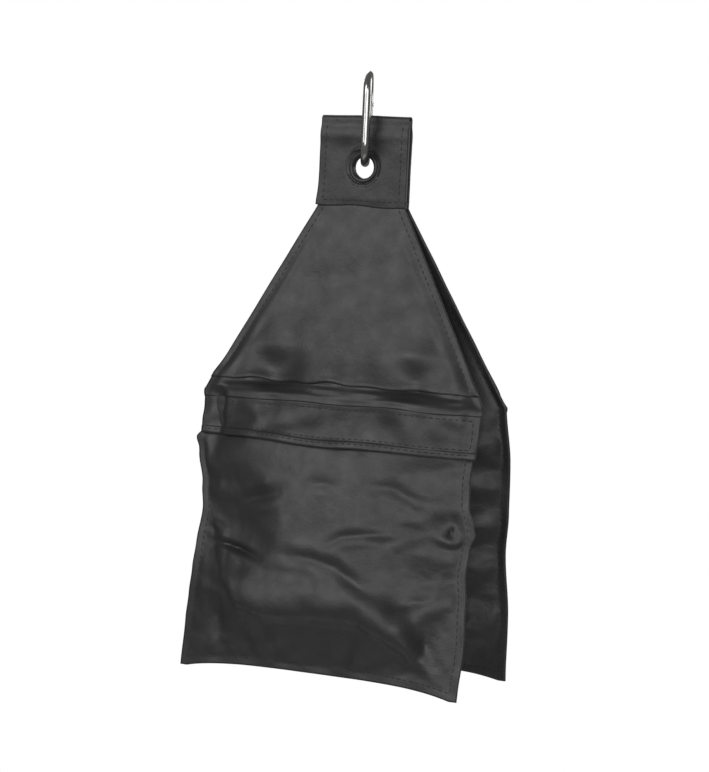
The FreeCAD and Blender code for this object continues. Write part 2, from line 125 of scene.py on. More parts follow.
# Simulation of the pouch.
SIM_SCALE = 10.0
SIM_FRAMES = 30
CLOTH_SPARE = 0.038  # cloth beyond what the seams are long
FILL_LITRES = 0.22
SIM_SETTINGS = {
    "quality": 5, "mass": 0.1, "air_damping": 1.5,
    "tension_stiffness": 60, "compression_stiffness": 60, "shear_stiffness": 15,
    "tension_damping": 5, "compression_damping": 5, "shear_damping": 5, "bending_stiffness": 0.25,
    "shrink_min": -CLOTH_SPARE, "shrink_max": -CLOTH_SPARE,
    "use_pressure": True, "use_pressure_volume": True, "uniform_pressure_force": 0,
    "target_volume": FILL_LITRES, "pressure_factor": 8.0,
    "vertex_group_pressure": "push", "vertex_group_mass": "held",
}
MOUTH_CROWN = 9.0
UPPER_CROWN = 11.4  # of the yoke at the shoulders
START_CROWN = 8.0
PACK_FULLNESS = 0.55  # by which packed sand stands out more near its foot
FLAT_FRONT = 30.0  # height towards which the full pouch flattens
SLACK_DROP = 0.32  # of the cloth's height, from the packed sand to the slack below it


# ---------------- grids of cloth

def to_row(points, end):
    """Points (..., 3) of x, s, t in millimetres in a half's frame, as metres in the row frame."""
    x, s, t = np.moveaxis(np.asarray(points, float), -1, 0) * MM
    y = TAB_LOW.y - t * math.cos(SPLAY) - s * math.sin(SPLAY)
    z = TAB_LOW.z + t * math.sin(SPLAY) - s * math.cos(SPLAY)
    turn = 1 if end == "front" else -1
    return np.stack([x * turn, y * turn, z], -1)


def centre_plane(s):
    """Height t of the plane between the two halves."""
    return (TAB_LOW.y / MM - np.asarray(s, float) * math.sin(SPLAY)) / math.cos(SPLAY)


def smoothstep(low, high, value):
    v = np.clip((np.asarray(value, float) - low) / (high - low), 0, 1)
    return v * v * (3 - 2 * v)


def hump(value, centre, reach):
    """1 at centre, falling off softly over about reach on both sides."""
    return np.exp(-((np.asarray(value, float) - centre) / reach) ** 2)


def through(points, value):
    """Curve through a few (place, height) points, level at each of them."""
    places, heights = np.array(points, float).T
    value = np.asarray(value, float)
    i = np.clip(np.searchsorted(places, value) - 1, 0, len(places) - 2)
    share = smoothstep(0, 1, (value - places[i]) / (places[i + 1] - places[i]))
    return heights[i] + (heights[i + 1] - heights[i]) * share


def finer(grid):
    """The grid with a point between each two, on a smooth curve through their neighbours."""
    for axis in (0, 1):
        g = np.moveaxis(grid, axis, 0)
        padded = np.concatenate([2 * g[:1] - g[1:2], g, 2 * g[-1:] - g[-2:-1]])
        out = np.empty((2 * len(g) - 1,) + g.shape[1:])
        out[::2] = g
        out[1::2] = (9 * (padded[1:-2] + padded[2:-1]) - padded[:-3] - padded[3:]) / 16
        grid = np.moveaxis(out, 0, axis)
    return grid


def soften(grid, times):
    """Evens out the inside of a grid and leaves its edges."""
    for _ in range(times):
        middle = (grid[:-2, 1:-1] + grid[2:, 1:-1] + grid[1:-1, :-2] + grid[1:-1, 2:]) / 4
        grid = grid.copy()
        grid[1:-1, 1:-1] += 0.5 * (middle - grid[1:-1, 1:-1])
    return grid


def normals(grid):
    """Unit normals of a grid in a half's frame, on the outward side."""
    n = np.cross(np.gradient(grid, axis=1), np.gradient(grid, axis=0))
    return n / np.maximum(np.linalg.norm(n, axis=-1, keepdims=True), 1e-12)


def waves(x, s, seed, length):
    """Smooth random heights from about -1 to 1, with features of about this length."""
    rng = np.random.default_rng(seed)
    total = 0
    for _ in range(7):
        angle, phase = rng.uniform(0, 2 * math.pi, 2)
        k = 2 * math.pi / length * rng.uniform(0.6, 1.5)
        total = total + np.sin(k * (x * math.cos(angle) + s * math.sin(angle)) + phase)
    return total / 3.2


def waves_along(line, seed, length):
    """Smooth random heights that change only along one direction."""
    return waves(line, line * 0, seed, length)


def half_width(s):
    s = np.asarray(s, float)
    taper = (BAG_WIDTH - TAB_WIDTH) / 2 * s / SHOULDER
    return np.where(s <= SHOULDER, TAB_WIDTH / 2 + taper, BAG_WIDTH / 2)


def stroke(grid, path, width, depth):
    """Presses a soft groove (depth above 0) or ridge into a grid along a path of (x, s) points."""
    points = np.array(path, float)
    best = np.full(grid.shape[:2], np.inf)
    along = np.zeros(grid.shape[:2])
    lengths = np.linalg.norm(np.diff(points, axis=0), axis=1)
    for i, (a, b) in enumerate(zip(points, points[1:])):
        d = b - a
        v = np.clip(((grid[..., :2] - a) @ d) / (d @ d), 0, 1)
        away = np.linalg.norm(grid[..., :2] - a - v[..., None] * d, axis=-1)
        nearer = away < best
        best = np.where(nearer, away, best)
        along = np.where(nearer, (lengths[:i].sum() + v * lengths[i]) / lengths.sum(), along)
    taper = np.sin(math.pi * np.clip(along, 0.02, 0.98)) ** 0.6
    shape = np.exp(-(best / width) ** 2) - 0.35 * np.exp(-((best - 2.2 * width) / width) ** 2)
    room = np.clip(grid[..., 2] / (1.5 * abs(depth)), 0, 1)
    grid[..., 2] -= depth * taper * shape * room


# ---------------- meshes

def add_object(name, data):
    made = bpy.data.objects.new(name, data)
    bpy.context.scene.collection.objects.link(made)
    return made


def new_piece(name, points, faces, cloth=None):
    mesh = bpy.data.meshes.new(name)
    mesh.from_pydata(np.asarray(points, float).tolist(), [], faces)
    mesh.polygons.foreach_set("use_smooth", [True] * len(mesh.polygons))
    if cloth is not None:
        layer = mesh.attributes.new("cloth", "FLOAT_VECTOR", "POINT")
        layer.data.foreach_set("vector", np.asarray(cloth, np.float32).ravel())
    return add_object(name, mesh)


def cells(index):
    """Corners of each cell of a grid of point numbers, in order round it."""
    return np.stack([index[:-1, :-1], index[:-1, 1:], index[1:, 1:], index[1:, :-1]], -1).reshape(-1, 4)


def tube_cells(index):
    """The same for a tube, whose rows of point numbers are rings."""
    return cells(np.concatenate([index, index[:, :1]], 1))


def ply(name, outer, inner, flat, kept=None):
    """Closed sheet between two grids of points in the row frame, where kept says which cells it has.

    flat gives each point's place on the uncut cloth, in millimetres.
    """
    rows, columns = outer.shape[:2]
    quads = cells(np.arange(rows * columns).reshape(rows, columns))
    if kept is not None:
        quads = quads[kept]
    count = rows * columns
    edges = {(int(q[k]), int(q[(k + 1) % 4])) for q in quads for k in range(4)}
    rim = [(a, b, b + count, a + count) for a, b in edges if (b, a) not in edges]
    faces = np.concatenate([quads[:, ::-1], quads + count, rim])
    points = np.concatenate([outer.reshape(-1, 3), inner.reshape(-1, 3)])
    cloth = np.concatenate([flat.reshape(-1, 3)] * 2)
    used = np.unique(faces)
    return new_piece(name, points[used], np.searchsorted(used, faces).tolist(), cloth[used])


def cloth_piece(name, grid, end, side=1, lift=PLY_GAP, thick=CLOTH):
    """Sheet of cloth on the outward side (1) or the saddle side (-1) of a grid in a half's frame.

    Returns the piece and the grid of its face on that side, still in the half's frame.
    """
    flat = grid * (1, 1, 0)
    n = normals(grid) * side
    lift = np.broadcast_to(lift, grid.shape[:2])[..., None]
    near = grid + n * lift
    far = grid + n * (lift + np.broadcast_to(thick, grid.shape[:2])[..., None])
    outer, inner = (far, near) if side > 0 else (near, far)
    return ply(name, to_row(outer, end), to_row(inner, end), flat), far


def nearest(values, wanted):
    """Place in a row of values of the one nearest to that wanted."""
    return int(np.argmin(np.abs(values - wanted)))


def resampled(line, step):
    """Points along a line of points, about step apart."""
    lengths = np.concatenate([[0], np.cumsum(np.linalg.norm(np.diff(line, axis=0), axis=1))])
    count = max(1, round(lengths[-1] / step))
    places = np.linspace(0, lengths[-1], count + 1)
    return np.stack([np.interp(places, lengths, line[:, k]) for k in range(3)], -1)


def threads(name, rows):
    """Stitches along rows, each a pair of a line of points on the cloth's face and its outward direction."""
    points, faces = [], []
    sides, rings = 6, 5
    for line, out in rows:
        line = np.asarray(line, float)
        stops = resampled(line, STITCH * MM)
        outs = np.broadcast_to(np.asarray(out, float), line.shape)
        for a, b in zip(stops, stops[1:]):
            up = outs[int(np.argmin(np.linalg.norm(line - (a + b) / 2, axis=1)))]
            forward = (b - a) / max(np.linalg.norm(b - a), 1e-9)
            side = np.cross(forward, up)
            side /= np.linalg.norm(side)
            index = len(points) + np.arange(rings * sides).reshape(rings, sides)
            for i in range(rings):
                v = i / (rings - 1)
                rise = (math.sin(math.pi * v) * 0.9 - 0.75) * THREAD_R * MM
                middle = a + (b - a) * (0.1 + 0.8 * v) + up * rise
                r = THREAD_R * MM * (0.6 + 0.4 * math.sin(math.pi * v))
                for j in range(sides):
                    angle = 2 * math.pi * j / sides
                    points.append(middle + side * (r * math.cos(angle)) + up * (r * math.sin(angle)))
            faces += tube_cells(index).tolist() + [index[0, ::-1].tolist(), index[-1].tolist()]
    return new_piece(name, points, faces)


# ---------------- the filled pouch

# How far each side seam, left -1 and right 1, is drawn in at distances down the half; below 0 it stands out.
SEAMS = {
    "front": {-1: ((101, 0), (118, 1.8), (122, 1.6), (127, -2.4), (134, 0), (152, 4.2), (165, 5.8),
                   (183, 4.2), (197, 3.1), (210, 2.1), (224, 1.2), (249, 0)),
              1: ((101, 1), (118, 3.4), (137, 4.2), (150, 3.4), (160, 0), (165, -1.4), (172, 0.8),
                  (185, 1.6), (200, 0), (222, -1.2), (249, 0))},
    "back": {-1: ((101, 0), (130, -2.2), (158, -1.5), (180, 0.2), (212, -1.2), (249, 0)),
             1: ((101, 0), (122, -1.5), (150, 3.5), (172, 5.2), (200, 2.6), (249, 0))},
}
BOTTOM_RISE = {"front": 4.8, "back": 4.2}
# Where the packed sand ends: distances down the half across it. Below, the cloth hangs nearly flat.
PACK_FOOT = {
    "front": ((-80, 150), (-67, 168), (-59, 189), (-52, 201), (-41, 212), (-24, 216), (9, 214), (26, 214),
              (38, 218), (48, 223.5), (58, 231), (68, 239), (80, 249)),
    "back": ((-80, 238), (-66, 228), (-50, 219), (-24, 215), (12, 212), (34, 210), (50, 203), (62, 188),
             (80, 160)),
}
# How far back the slack below the packed sand hangs, across the half.
SLACK_BACK = {
    "front": ((-80, 10.5), (-58, 6.0), (-40, 5.0), (10, 4.0), (45, 1), (80, 0)),
    "back": ((-80, 0), (-40, 2), (10, 4), (50, 5), (80, 6)),
}
SLACK_TOP = 188.0  # the highest that it starts to hang back
SLACK_FULL = 262.0  # where it would be all the way back, past the lower edge
# The liner and the sand: distances down the half that they span, and the points of a ring round them.
FILM_SPAN = (109, 224)
SAND_SPAN = (121, 219)
CRUMPLE = 0.45  # of the film
RING_POINTS = 40
LEAST_HALF = 0.12  # of a ring's height
SEED = {"front": 4, "back": 11}

# Creases of the filled pouch: path, width and depth.
CREASES = {
    "front": [
        ([(-65, 181), (-56, 182), (-46, 184), (-31, 188)], 1.7, 2.4),
        ([(-20, 184), (0, 185), (14, 188), (26, 196), (38, 202)], 2.8, 1.15),
        ([(6, 178), (16, 172), (27, 170), (44, 169)], 2.0, 0.9),
        ([(71, 164), (68, 164)], 2.6, 3.0),
        ([(76, 169), (70, 170), (63, 168)], 1.8, -1.0),
        ([(73, 192), (62, 200), (46, 204)], 2.2, 0.7),
        ([(76, 186), (70, 189), (66, 194)], 2.0, 2.0),
        ([(-75, 172), (-68, 174), (-60, 178)], 1.9, 1.8),
        ([(-50, 161), (-36, 156), (-19, 152)], 3.0, 1.6),
        ([(-6, 147), (2, 146), (10, 147)], 2.4, 0.6),
        ([(26, 146), (38, 145), (50, 150)], 2.6, 0.9),
        ([(40, 152), (52, 156), (60, 152)], 2.6, -0.7),
        ([(86, 254), (66, 239), (50, 226)], 3.6, -0.7),
        ([(70, 238), (56, 214), (48, 206)], 3.2, 0.8),
        ([(-75, 243), (-62, 226), (-54, 210)], 3.4, 1.2),
        ([(-40, 240), (-20, 226), (-10, 219)], 4.0, -0.8),
    ],
    "back": [
        ([(60, 181), (44, 184), (30, 181)], 1.8, 1.4),
        ([(-30, 192), (-14, 186), (2, 188)], 2.2, 1.5),
        ([(-76, 168), (-68, 170), (-58, 168)], 1.8, 1.4),
        ([(76, 186), (68, 184), (58, 187)], 1.8, 1.5),
        ([(-66, 214), (-30, 217), (10, 213), (66, 202)], 3.4, 1.2),
        ([(-73, 241), (-56, 232), (-34, 226)], 3.0, 1.0),
        ([(74, 242), (62, 224), (54, 208)], 3.0, 0.9),
        ([(-24, 148), (0, 151), (20, 147)], 3.0, 0.6),
    ],
}


def pouch_seams(end, s, q):
    """Place of a point of the unfilled pouch: q runs from -1 at the left seam to 1 at the right."""
    left, right = (BAG_WIDTH / 2 - SEAM - through(SEAMS[end][side], s) for side in (-1, 1))
    x = np.where(q < 0, q * left, q * right)
    share = (s - SHOULDER) / (SEAM_END - SHOULDER)
    rise = BOTTOM_RISE[end] * (1 - np.abs(q) ** 4) * share ** 5
    return np.stack([x, s - rise, np.zeros_like(x)], -1)


def pack_push(end, x, s):
    """How hard the sand pack presses on the cloth at a point, from 0 to 1."""
    foot = through(PACK_FOOT[end], x)
    inside = 1 - smoothstep(60, 73, np.abs(x))
    return inside * (1 - smoothstep(foot - 3, foot + 3, s)) * (0.3 + 0.7 * smoothstep(105, 195, s))


def fill_pouch(end):
    """Front and back grids of a pouch, sewn down both sides and along the bottom and filled with sand."""
    rows = round((SEAM_END - SHOULDER) / CELL) + 1
    columns = round((BAG_WIDTH - 2 * SEAM) / CELL) + 1
    stops = np.linspace(SHOULDER, SEAM_END, rows)
    s, q = np.meshgrid(stops, np.linspace(-1, 1, columns), indexing="ij")
    flat = pouch_seams(end, s, q)
    share = (s - SHOULDER) / (SEAM_END - SHOULDER)
    start = MOUTH_CROWN * (1 - share) + START_CROWN * np.sin(math.pi * share ** 1.2)
    start = start * (1 - q ** 2) ** 0.75
    jitter = np.random.default_rng(SEED[end]).normal(0, 0.12, (2, rows, columns))
    grids = []
    for side, shift in zip((1, -1), jitter):
        grid = flat.copy()
        grid[..., 2] = side * start
        grid[1:-1, 1:-1, 2] += shift[1:-1, 1:-1]
        grids.append(grid)
    return simulate(end, grids)


def simulate(end, grids):
    """Fills the sewn pouch by cloth simulation, with its seams and its mouth held."""
    rows, columns = grids[0].shape[:2]
    front = np.arange(rows * columns).reshape(rows, columns)
    back = front.copy()
    free = np.zeros((rows, columns), bool)
    free[:-1, 1:-1] = True
    back[free] = rows * columns + np.arange(free.sum())
    points = np.concatenate([grids[0].reshape(-1, 3), grids[1][free]])
    faces = []
    for index, order in ((front, (0, 3, 2, 1)), (back, (0, 1, 2, 3))):
        faces += cells(index)[:, order].tolist()
    for j in range(columns - 1):
        lid = [front[0, j], front[0, j + 1], back[0, j + 1], back[0, j]]
        faces.append([int(v) for v in dict.fromkeys(lid)])
    scale = SIM_SCALE * MM
    mesh = bpy.data.meshes.new("pouch_sim")
    mesh.from_pydata((points[:, [0, 2, 1]] * scale * (1, -1, -1)).tolist(), [], faces)
    pouch = add_object("pouch_sim", mesh)
    held = np.concatenate([front[0], back[0], front[-1], front[:, 0], front[:, -1]])
    pins = pouch.vertex_groups.new(name="held")
    pins.add(np.unique(held).tolist(), 1.0, "REPLACE")
    push = pouch.vertex_groups.new(name="push")
    for i, weight in enumerate(pack_push(end, points[:, 0], points[:, 1])):
        push.add([i], float(weight), "REPLACE")
    cloth = pouch.modifiers.new("Cloth", "CLOTH")
    for key, value in SIM_SETTINGS.items():
        setattr(cloth.settings, key, value)
    cloth.settings.effector_weights.gravity = 0
    cloth.point_cache.frame_end = SIM_FRAMES
    for number in range(1, SIM_FRAMES + 1):
        bpy.context.scene.frame_set(number)
    settled = pouch.evaluated_get(bpy.context.evaluated_depsgraph_get())
    moved = np.zeros(len(points) * 3, np.float32)
    settled.data.vertices.foreach_get("co", moved)
    bpy.data.objects.remove(pouch)
    bpy.context.scene.frame_set(1)
    moved = (moved.reshape(-1, 3) * (1, -1, -1) / scale)[:, [0, 2, 1]]
    return [moved[front], moved[back]]


def with_flange(grid, seed):
    """The grid with the flat edge of cloth beyond its side seams, and beyond the bottom one if it has one."""
    x, s = grid[..., 0], grid[..., 1]
    sides = []
    for side, column in ((-1, 0), (1, -1)):
        steps = []
        for out in (SEAM / 2, SEAM):
            edge = grid[:, column].copy()
            edge[:, 0] += side * out
            edge[:, 2] = 0.10 * out * waves(x[:, column] * 0 + side * 40, s[:, column], seed + side, 26)
            steps.append(edge)
        sides.append(steps)
    wide = np.stack(sides[0][::-1] + [grid[:, j] for j in range(grid.shape[1])] + sides[1], 1)
    if abs(wide[-1, 0, 1] - SEAM_END) > CELL:
        return wide
    lower = []
    for out in (SEAM / 2, SEAM):
        edge = wide[-1].copy()
        edge[:, 1] += out
        edge[:, 2] += 0.10 * out * waves_along(edge[:, 0], seed + 7, 30)
        lower.append(edge[None])
    return np.concatenate([wide] + lower)


# ---------------- the halves' other cloth

def pouch_grids(end):
    """Front and back grids of the filled pouch at full fineness, with its creases."""
    front, back = fill_pouch(end)
    keep_apart(front, back, 5)
    front, back = (finer(with_flange(soften(grid, 2), SEED[end])) for grid in (front, back))
    for grid in (front, back):
        foot = through(PACK_FOOT[end], grid[..., 0])
        middle = 1 - smoothstep(52, 70, np.abs(grid[..., 0]))
        grid[..., 2] *= 1 + PACK_FULLNESS * smoothstep(foot - 24, foot - 3, grid[..., 1]) * middle
        grid[..., 2] *= 1 - SLACK_DROP * smoothstep(foot - 1, foot + 5, grid[..., 1])
        grid[..., 2] = FLAT_FRONT * np.tanh(grid[..., 2] / FLAT_FRONT)
    for path, width, depth in CREASES[end]:
        stroke(front, path, width, depth)
    keep_apart(front, back, 20)
    for grid in (front, back):
        x, s = grid[..., 0], grid[..., 1]
        start = np.maximum(through(PACK_FOOT[end], x), SLACK_TOP)
        set_back = through(SLACK_BACK[end], x) * smoothstep(start - 4, SLACK_FULL, s)
        grid[..., 2] -= set_back
        grid[..., 0] += 0.3 * np.sign(x) * set_back * smoothstep(40, 80, np.abs(x))
    back[..., 2] = np.maximum(back[..., 2], centre_plane(back[..., 1]) + PLY_GAP + CLOTH + 0.9)
    return front, back


def keep_apart(front, back, reach):
    """Parts the pouch's two cloths wherever they would cross, less towards the seams round them."""
    rows, columns = front.shape[:2]
    across = np.minimum(np.arange(columns), np.arange(columns)[::-1])
    up = np.arange(rows)[::-1]
    need = LEAST_GAP * smoothstep(0, reach, across)[None] * smoothstep(0, reach, up)[:, None]
    short = np.maximum(need - (front[..., 2] - back[..., 2]), 0) / 2
    front[..., 2] += short
    back[..., 2] -= short


def flat_grid(top, bottom):
    """Grid of a half's flat cloth between two distances down it, with the columns of its pouch."""
    count = round((bottom - top) / CELL)
    columns = round((BAG_WIDTH - 2 * SEAM) / CELL) + 1
    s, q = np.meshgrid(np.linspace(top, bottom, count + 1), np.linspace(-1, 1, columns), indexing="ij")
    return np.stack([q * (half_width(np.maximum(s, 0)) - SEAM), s, np.zeros_like(s)], -1), q


def lining_grid(end, back):
    """Back cloth of a half, from under the tab down to the bottom of the pouch."""
    grid, q = flat_grid(1.0, SHOULDER)
    sag = np.clip((grid[..., 1] - 45) / 55, 0, 1) ** 1.6
    grid[..., 2] = -MOUTH_CROWN * sag * (1 - q ** 2) ** 0.75
    upper = finer(with_flange(grid, SEED[end] + 20))
    grid = np.concatenate([upper[:-1], back])
    row = len(upper) - 1
    for _ in range(3):  # eases the fold where the pouch begins
        around = [grid[row - 3 + k:row + 4 + k, :, 2] for k in (-1, 0, 1)]
        grid[row - 3:row + 4, :, 2] = (around[0] + around[1] + around[2]) / 3
    return grid


def surface_at(grid, x, s):
    """Height of a grid at places (x, s), taking its rows and columns as nearly straight."""
    middle = grid.shape[1] // 2
    row = np.interp(s, grid[:, middle, 1], np.arange(len(grid)))
    low = np.clip(row.astype(int), 0, len(grid) - 2)
    share = row - low
    out = np.zeros_like(x)
    for at, first in np.ndenumerate(low):
        a, b = (np.interp(x[at], line[:, 0], line[:, 2]) for line in grid[first:first + 2])
        out[at] = a + (b - a) * share[at]
    return out


# Deep dents above the flap: place across the half, reach, depth and where down the half each one starts.
DENTS = ((-37, 15, 7.4, 74), (41, 13, 6.6, 75))
# Faint hollows higher up: place across and reach, place down and reach, and depth.
HOLLOWS = ((-24, 7, 56, 8, 0.6), (14, 9, 44, 12, 0.5))


def upper_height(end, x, s):
    """Height of the yoke's cloth, and of the flap's cloth down to its tuck, over the plane of the seams."""
    seam = half_width(np.maximum(s, 0)) - SEAM
    q = np.clip(np.abs(x) / seam, 0, 1)
    edge = 1 - q ** 2.6
    rise = np.clip((s - 36) / (SHOULDER - 36), 0, 1.04) ** 1.5
    t = UPPER_CROWN * rise * edge ** 0.8 + 0.9 * edge * smoothstep(4, 26, s)
    inside = smoothstep(0, 7, seam - 2 - np.abs(x))
    across = x if end == "front" else -x
    seed = SEED[end]
    for place, reach, depth, start in DENTS:
        t -= depth * hump(across, place, reach) * (smoothstep(start, 91, s) - smoothstep(94, 102, s)) * inside
    for place, reach, down, tall, depth in HOLLOWS:
        t -= depth * hump(across, place, reach) * hump(s, down, tall) * inside
    # The roll of cloth along the slanted seams.
    t += 0.45 * hump(seam - 4.5 - np.abs(x), 0, 2.6) * smoothstep(8, 30, s)
    # Gathers above the tuck, and long faint creases down the middle.
    strength = smoothstep(91, 96, s) * (1 - smoothstep(101, 104, s)) * inside
    strength = strength * (0.65 + 0.35 * waves_along(x, seed + 61, 22))
    t += 0.6 * strength * np.sin(2 * math.pi * (s + 1.2 * waves_along(x, seed + 62, 34)) / 4.6)
    t += 0.45 * waves(x, s * 0.3, seed + 63, 15) * inside * smoothstep(6, 40, s)
    t += 0.40 * waves(x * 0.5, s, seed + 64, 24) * inside * smoothstep(6, 40, s)
    # A puffed ear at one shoulder.
    t += 2.6 * hump(across, -72, 6.5) * hump(s, 97, 7)
    return t


def yoke_grid(end):
    """Grid of the yoke's near face, tucked behind the tab at its top and lapped over the flap below."""
    grid, _ = flat_grid(-TOP_TUCK, YOKE_END)
    grid = finer(with_flange(grid, SEED[end] + 30))
    x, s = grid[..., 0], grid[..., 1]
    grid[..., 2] += upper_height(end, x, s) + np.where(s < 0, 0.5 * s / TOP_TUCK, 0)
    grid[..., 2] += (CLOTH + 0.15) * smoothstep(80, FLAP_TOP - 0.5, s)
    grid[..., 1] += smoothstep(86, YOKE_END, s) * (0.8 * waves_along(x, SEED[end] + 65, 26) - 0.4)
    return grid


def flap_stops():
    """Distances down the flap's cloth and how far each stands over its band, with the tuck between."""
    above = [(s, 1.1 * float(smoothstep(97, 103, s))) for s in np.linspace(FLAP_TOP, TUCK_LINE - 1.2, 13)]
    tuck = [(-0.5, 1.12), (0.0, 1.02), (0.28, 0.72), (0.22, 0.36), (0.0, 0.12), (0.45, 0.0), (1.3, 0.0)]
    band = np.linspace(TUCK_LINE + 2.5, FLAP_END - 5, 12)
    hem = np.linspace(HEM_TOP - 0.1, HEM_FULL + 0.1, 5)
    edge = np.linspace(FLAP_END - 2.4, FLAP_END, 3)
    below = [(s, 0.0) for s in np.concatenate([band, hem, edge])]
    return above + [(TUCK_LINE + s, lift) for s, lift in tuck] + below


def flap_grid(end, front):
    """Grid of the flap's outer face: gathered cloth down to a tuck, then the band over the two tapes."""
    stops = np.array(flap_stops())
    s, u = np.meshgrid(stops[:, 0], np.linspace(-1, 1, FLAP_COLUMNS), indexing="ij")
    lift = np.broadcast_to(stops[:, 1:], s.shape)
    ends = half_width(s) - (BAG_WIDTH / 2 - FLAP_HALF_WIDTH) * smoothstep(SHOULDER, TUCK_LINE + 2, s)
    x = u * ends
    across = x if end == "front" else -x
    sag = 0.6 * waves_along(x, SEED[end] + 51, 60) - 3.2 * (1 - smoothstep(-80, 5, across))
    tilt = 0.5 * waves_along(x, SEED[end] + 52, 45) * hump(s, TUCK_LINE, 3)
    drawn = s + sag * smoothstep(111, 124, s) + tilt
    under = surface_at(front, x, np.maximum(drawn, SHOULDER + 1))
    under = np.maximum(soften(np.stack([x, s, under], -1), 10)[..., 2], 0)
    edge = np.where(across < 0, smoothstep(62.5, 69, np.abs(x)), smoothstep(68, 79, np.abs(x)))
    band = (under + FLAP_LIFT + CLOTH) * (1 - edge) + 1.8 * edge
    box = smoothstep(TAPE_LEFT - 3, TAPE_LEFT, x) * (1 - smoothstep(TAPE_RIGHT, TAPE_RIGHT + 3, x))
    box = box * smoothstep(TAPE_TOP - 1, TAPE_TOP + 1, s)
    band += 0.3 * box * (1 - smoothstep(TAPE_END, TAPE_END + 1, s))
    band += 0.5 * smoothstep(HEM_TOP, HEM_FULL, s)
    band += 2.6 * smoothstep(64, 79, across) * smoothstep(114, FLAP_END, s)
    band += 1.5 * hump(across, -73, 4.5) * (1 - 0.5 * smoothstep(110, 122, s))
    band += 0.28 * waves(x, s * 1.6, SEED[end] + 50, 26) * smoothstep(104, 110, s)
    upper = upper_height(end, x, s) + PLY_GAP + CLOTH
    own = smoothstep(98.5, TUCK_LINE - 0.6, s)
    t = upper * (1 - own) + band * own + lift * (0.4 + 0.6 * (1 - edge))
    return np.stack([x, drawn, t], -1)


# ---------------- materials

def material(name, colour, roughness, metallic=0.0, sheen=0.0, coat=0.0):
    """New material with its shader's plain values set. Returns it with its node tree and shader."""
    made = bpy.data.materials.new(name)
    made.use_nodes = True
    shader = made.node_tree.nodes["Principled BSDF"]
    values = {"Base Color": (*colour, 1), "Roughness": roughness, "Metallic": metallic,
              "Sheen Weight": sheen, "Sheen Roughness": 0.45, "Coat Weight": coat}
    for socket, value in values.items():
        shader.inputs[socket].default_value = value
    return made, made.node_tree, shader


def node(tree, kind, **values):
    """New shader node; values set its properties or, by name, its inputs."""
    made = tree.nodes.new(kind)
    for key, value in values.items():
        label = key.replace("_", " ")
        if label in made.inputs:
            made.inputs[label].default_value = value
        else:
            setattr(made, key, value)
    return made


def place(tree, source, scale=(1, 1, 1)):
    """Coordinates for patterns: the cloth's own, in millimetres, or the object's."""
    mapping = node(tree, "ShaderNodeMapping", Scale=scale)
    if source == "cloth":
        where = node(tree, "ShaderNodeAttribute", attribute_name="cloth").outputs["Vector"]
    else:
        where = node(tree, "ShaderNodeTexCoord").outputs["Object"]
    tree.links.new(where, mapping.inputs[0])
    return mapping.outputs[0]


def noise(tree, vector, scale, detail=3.0, roughness=0.5):
    made = node(tree, "ShaderNodeTexNoise", Scale=scale, Detail=detail, Roughness=roughness)
    tree.links.new(vector, made.inputs["Vector"])
    return made.outputs["Fac"]


def spread(tree, shader, socket, value, low, high, at=(0.3, 0.7)):
    """Drives one of a shader's inputs with a value spread between two greys or colours."""
    made = node(tree, "ShaderNodeValToRGB")
    for element, colour, where in zip(made.color_ramp.elements, (low, high), at):
        element.color = (*colour, 1) if hasattr(colour, "__len__") else (colour, colour, colour, 1)
        element.position = where
    tree.links.new(value, made.inputs[0])
    tree.links.new(made.outputs[0], shader.inputs[socket])


def maths(tree, operation, *values):
    made = node(tree, "ShaderNodeMath", operation=operation)
    for socket, value in zip(made.inputs, values):
        if isinstance(value, (int, float)):
            socket.default_value = value
        else:
            tree.links.new(value, socket)
    return made.outputs[0]


def bump(tree, shader, layers):
    """Chains bumps of (height, strength, distance in metres) onto a shader."""
    last = None
    for height, strength, distance in layers:
        made = node(tree, "ShaderNodeBump", Strength=strength, Distance=distance)
        tree.links.new(height, made.inputs["Height"])
        if last is not None:
            tree.links.new(last, made.inputs["Normal"])
        last = made.outputs["Normal"]
    tree.links.new(last, shader.inputs["Normal"])


def weave(tree, pitch):
    """Height of a plain weave in the cloth's own coordinates."""
    split = node(tree, "ShaderNodeSeparateXYZ")
    tree.links.new(place(tree, "cloth", (2 * math.pi / pitch,) * 3), split.inputs[0])
    across, down = split.outputs["X"], split.outputs["Y"]
    fine = maths(tree, "MULTIPLY", maths(tree, "SINE", across), maths(tree, "SINE", down))
    halves = [maths(tree, "SINE", maths(tree, "MULTIPLY", way, 0.5)) for way in (across, down)]
    return maths(tree, "ADD", fine, maths(tree, "MULTIPLY", *halves))


def nylon():
    made, tree, shader = material("nylon", (0.02, 0.02, 0.021), 0.45)
    shader.inputs["Specular IOR Level"].default_value = 0.6
    cloth = place(tree, "cloth")
    slub = place(tree, "cloth", (0.12, 1.4, 1))
    tone = noise(tree, cloth, 0.045, 4)
    spread(tree, shader, "Base Color", tone, (0.015, 0.015, 0.0155), (0.021, 0.021, 0.0215))
    spread(tree, shader, "Roughness", noise(tree, cloth, 0.11, 5), 0.42, 0.54)
    bump(tree, shader, [
        (weave(tree, 0.8), 0.24, 0.00006),
        (noise(tree, slub, 1.1, 2), 0.25, 0.00012),
        (noise(tree, cloth, 0.28, 4, 0.6), 0.35, 0.0006),
    ])
    return made


def thread_material():
    made, tree, shader = material("thread", (0.02, 0.02, 0.021), 0.6, sheen=0.05)
    around = place(tree, "object")
    tone = noise(tree, around, 260, 2)
    spread(tree, shader, "Base Color", tone, (0.014, 0.014, 0.015), (0.03, 0.03, 0.031))
    bump(tree, shader, [(noise(tree, around, 3200, 2), 0.5, 0.0001)])
    return made


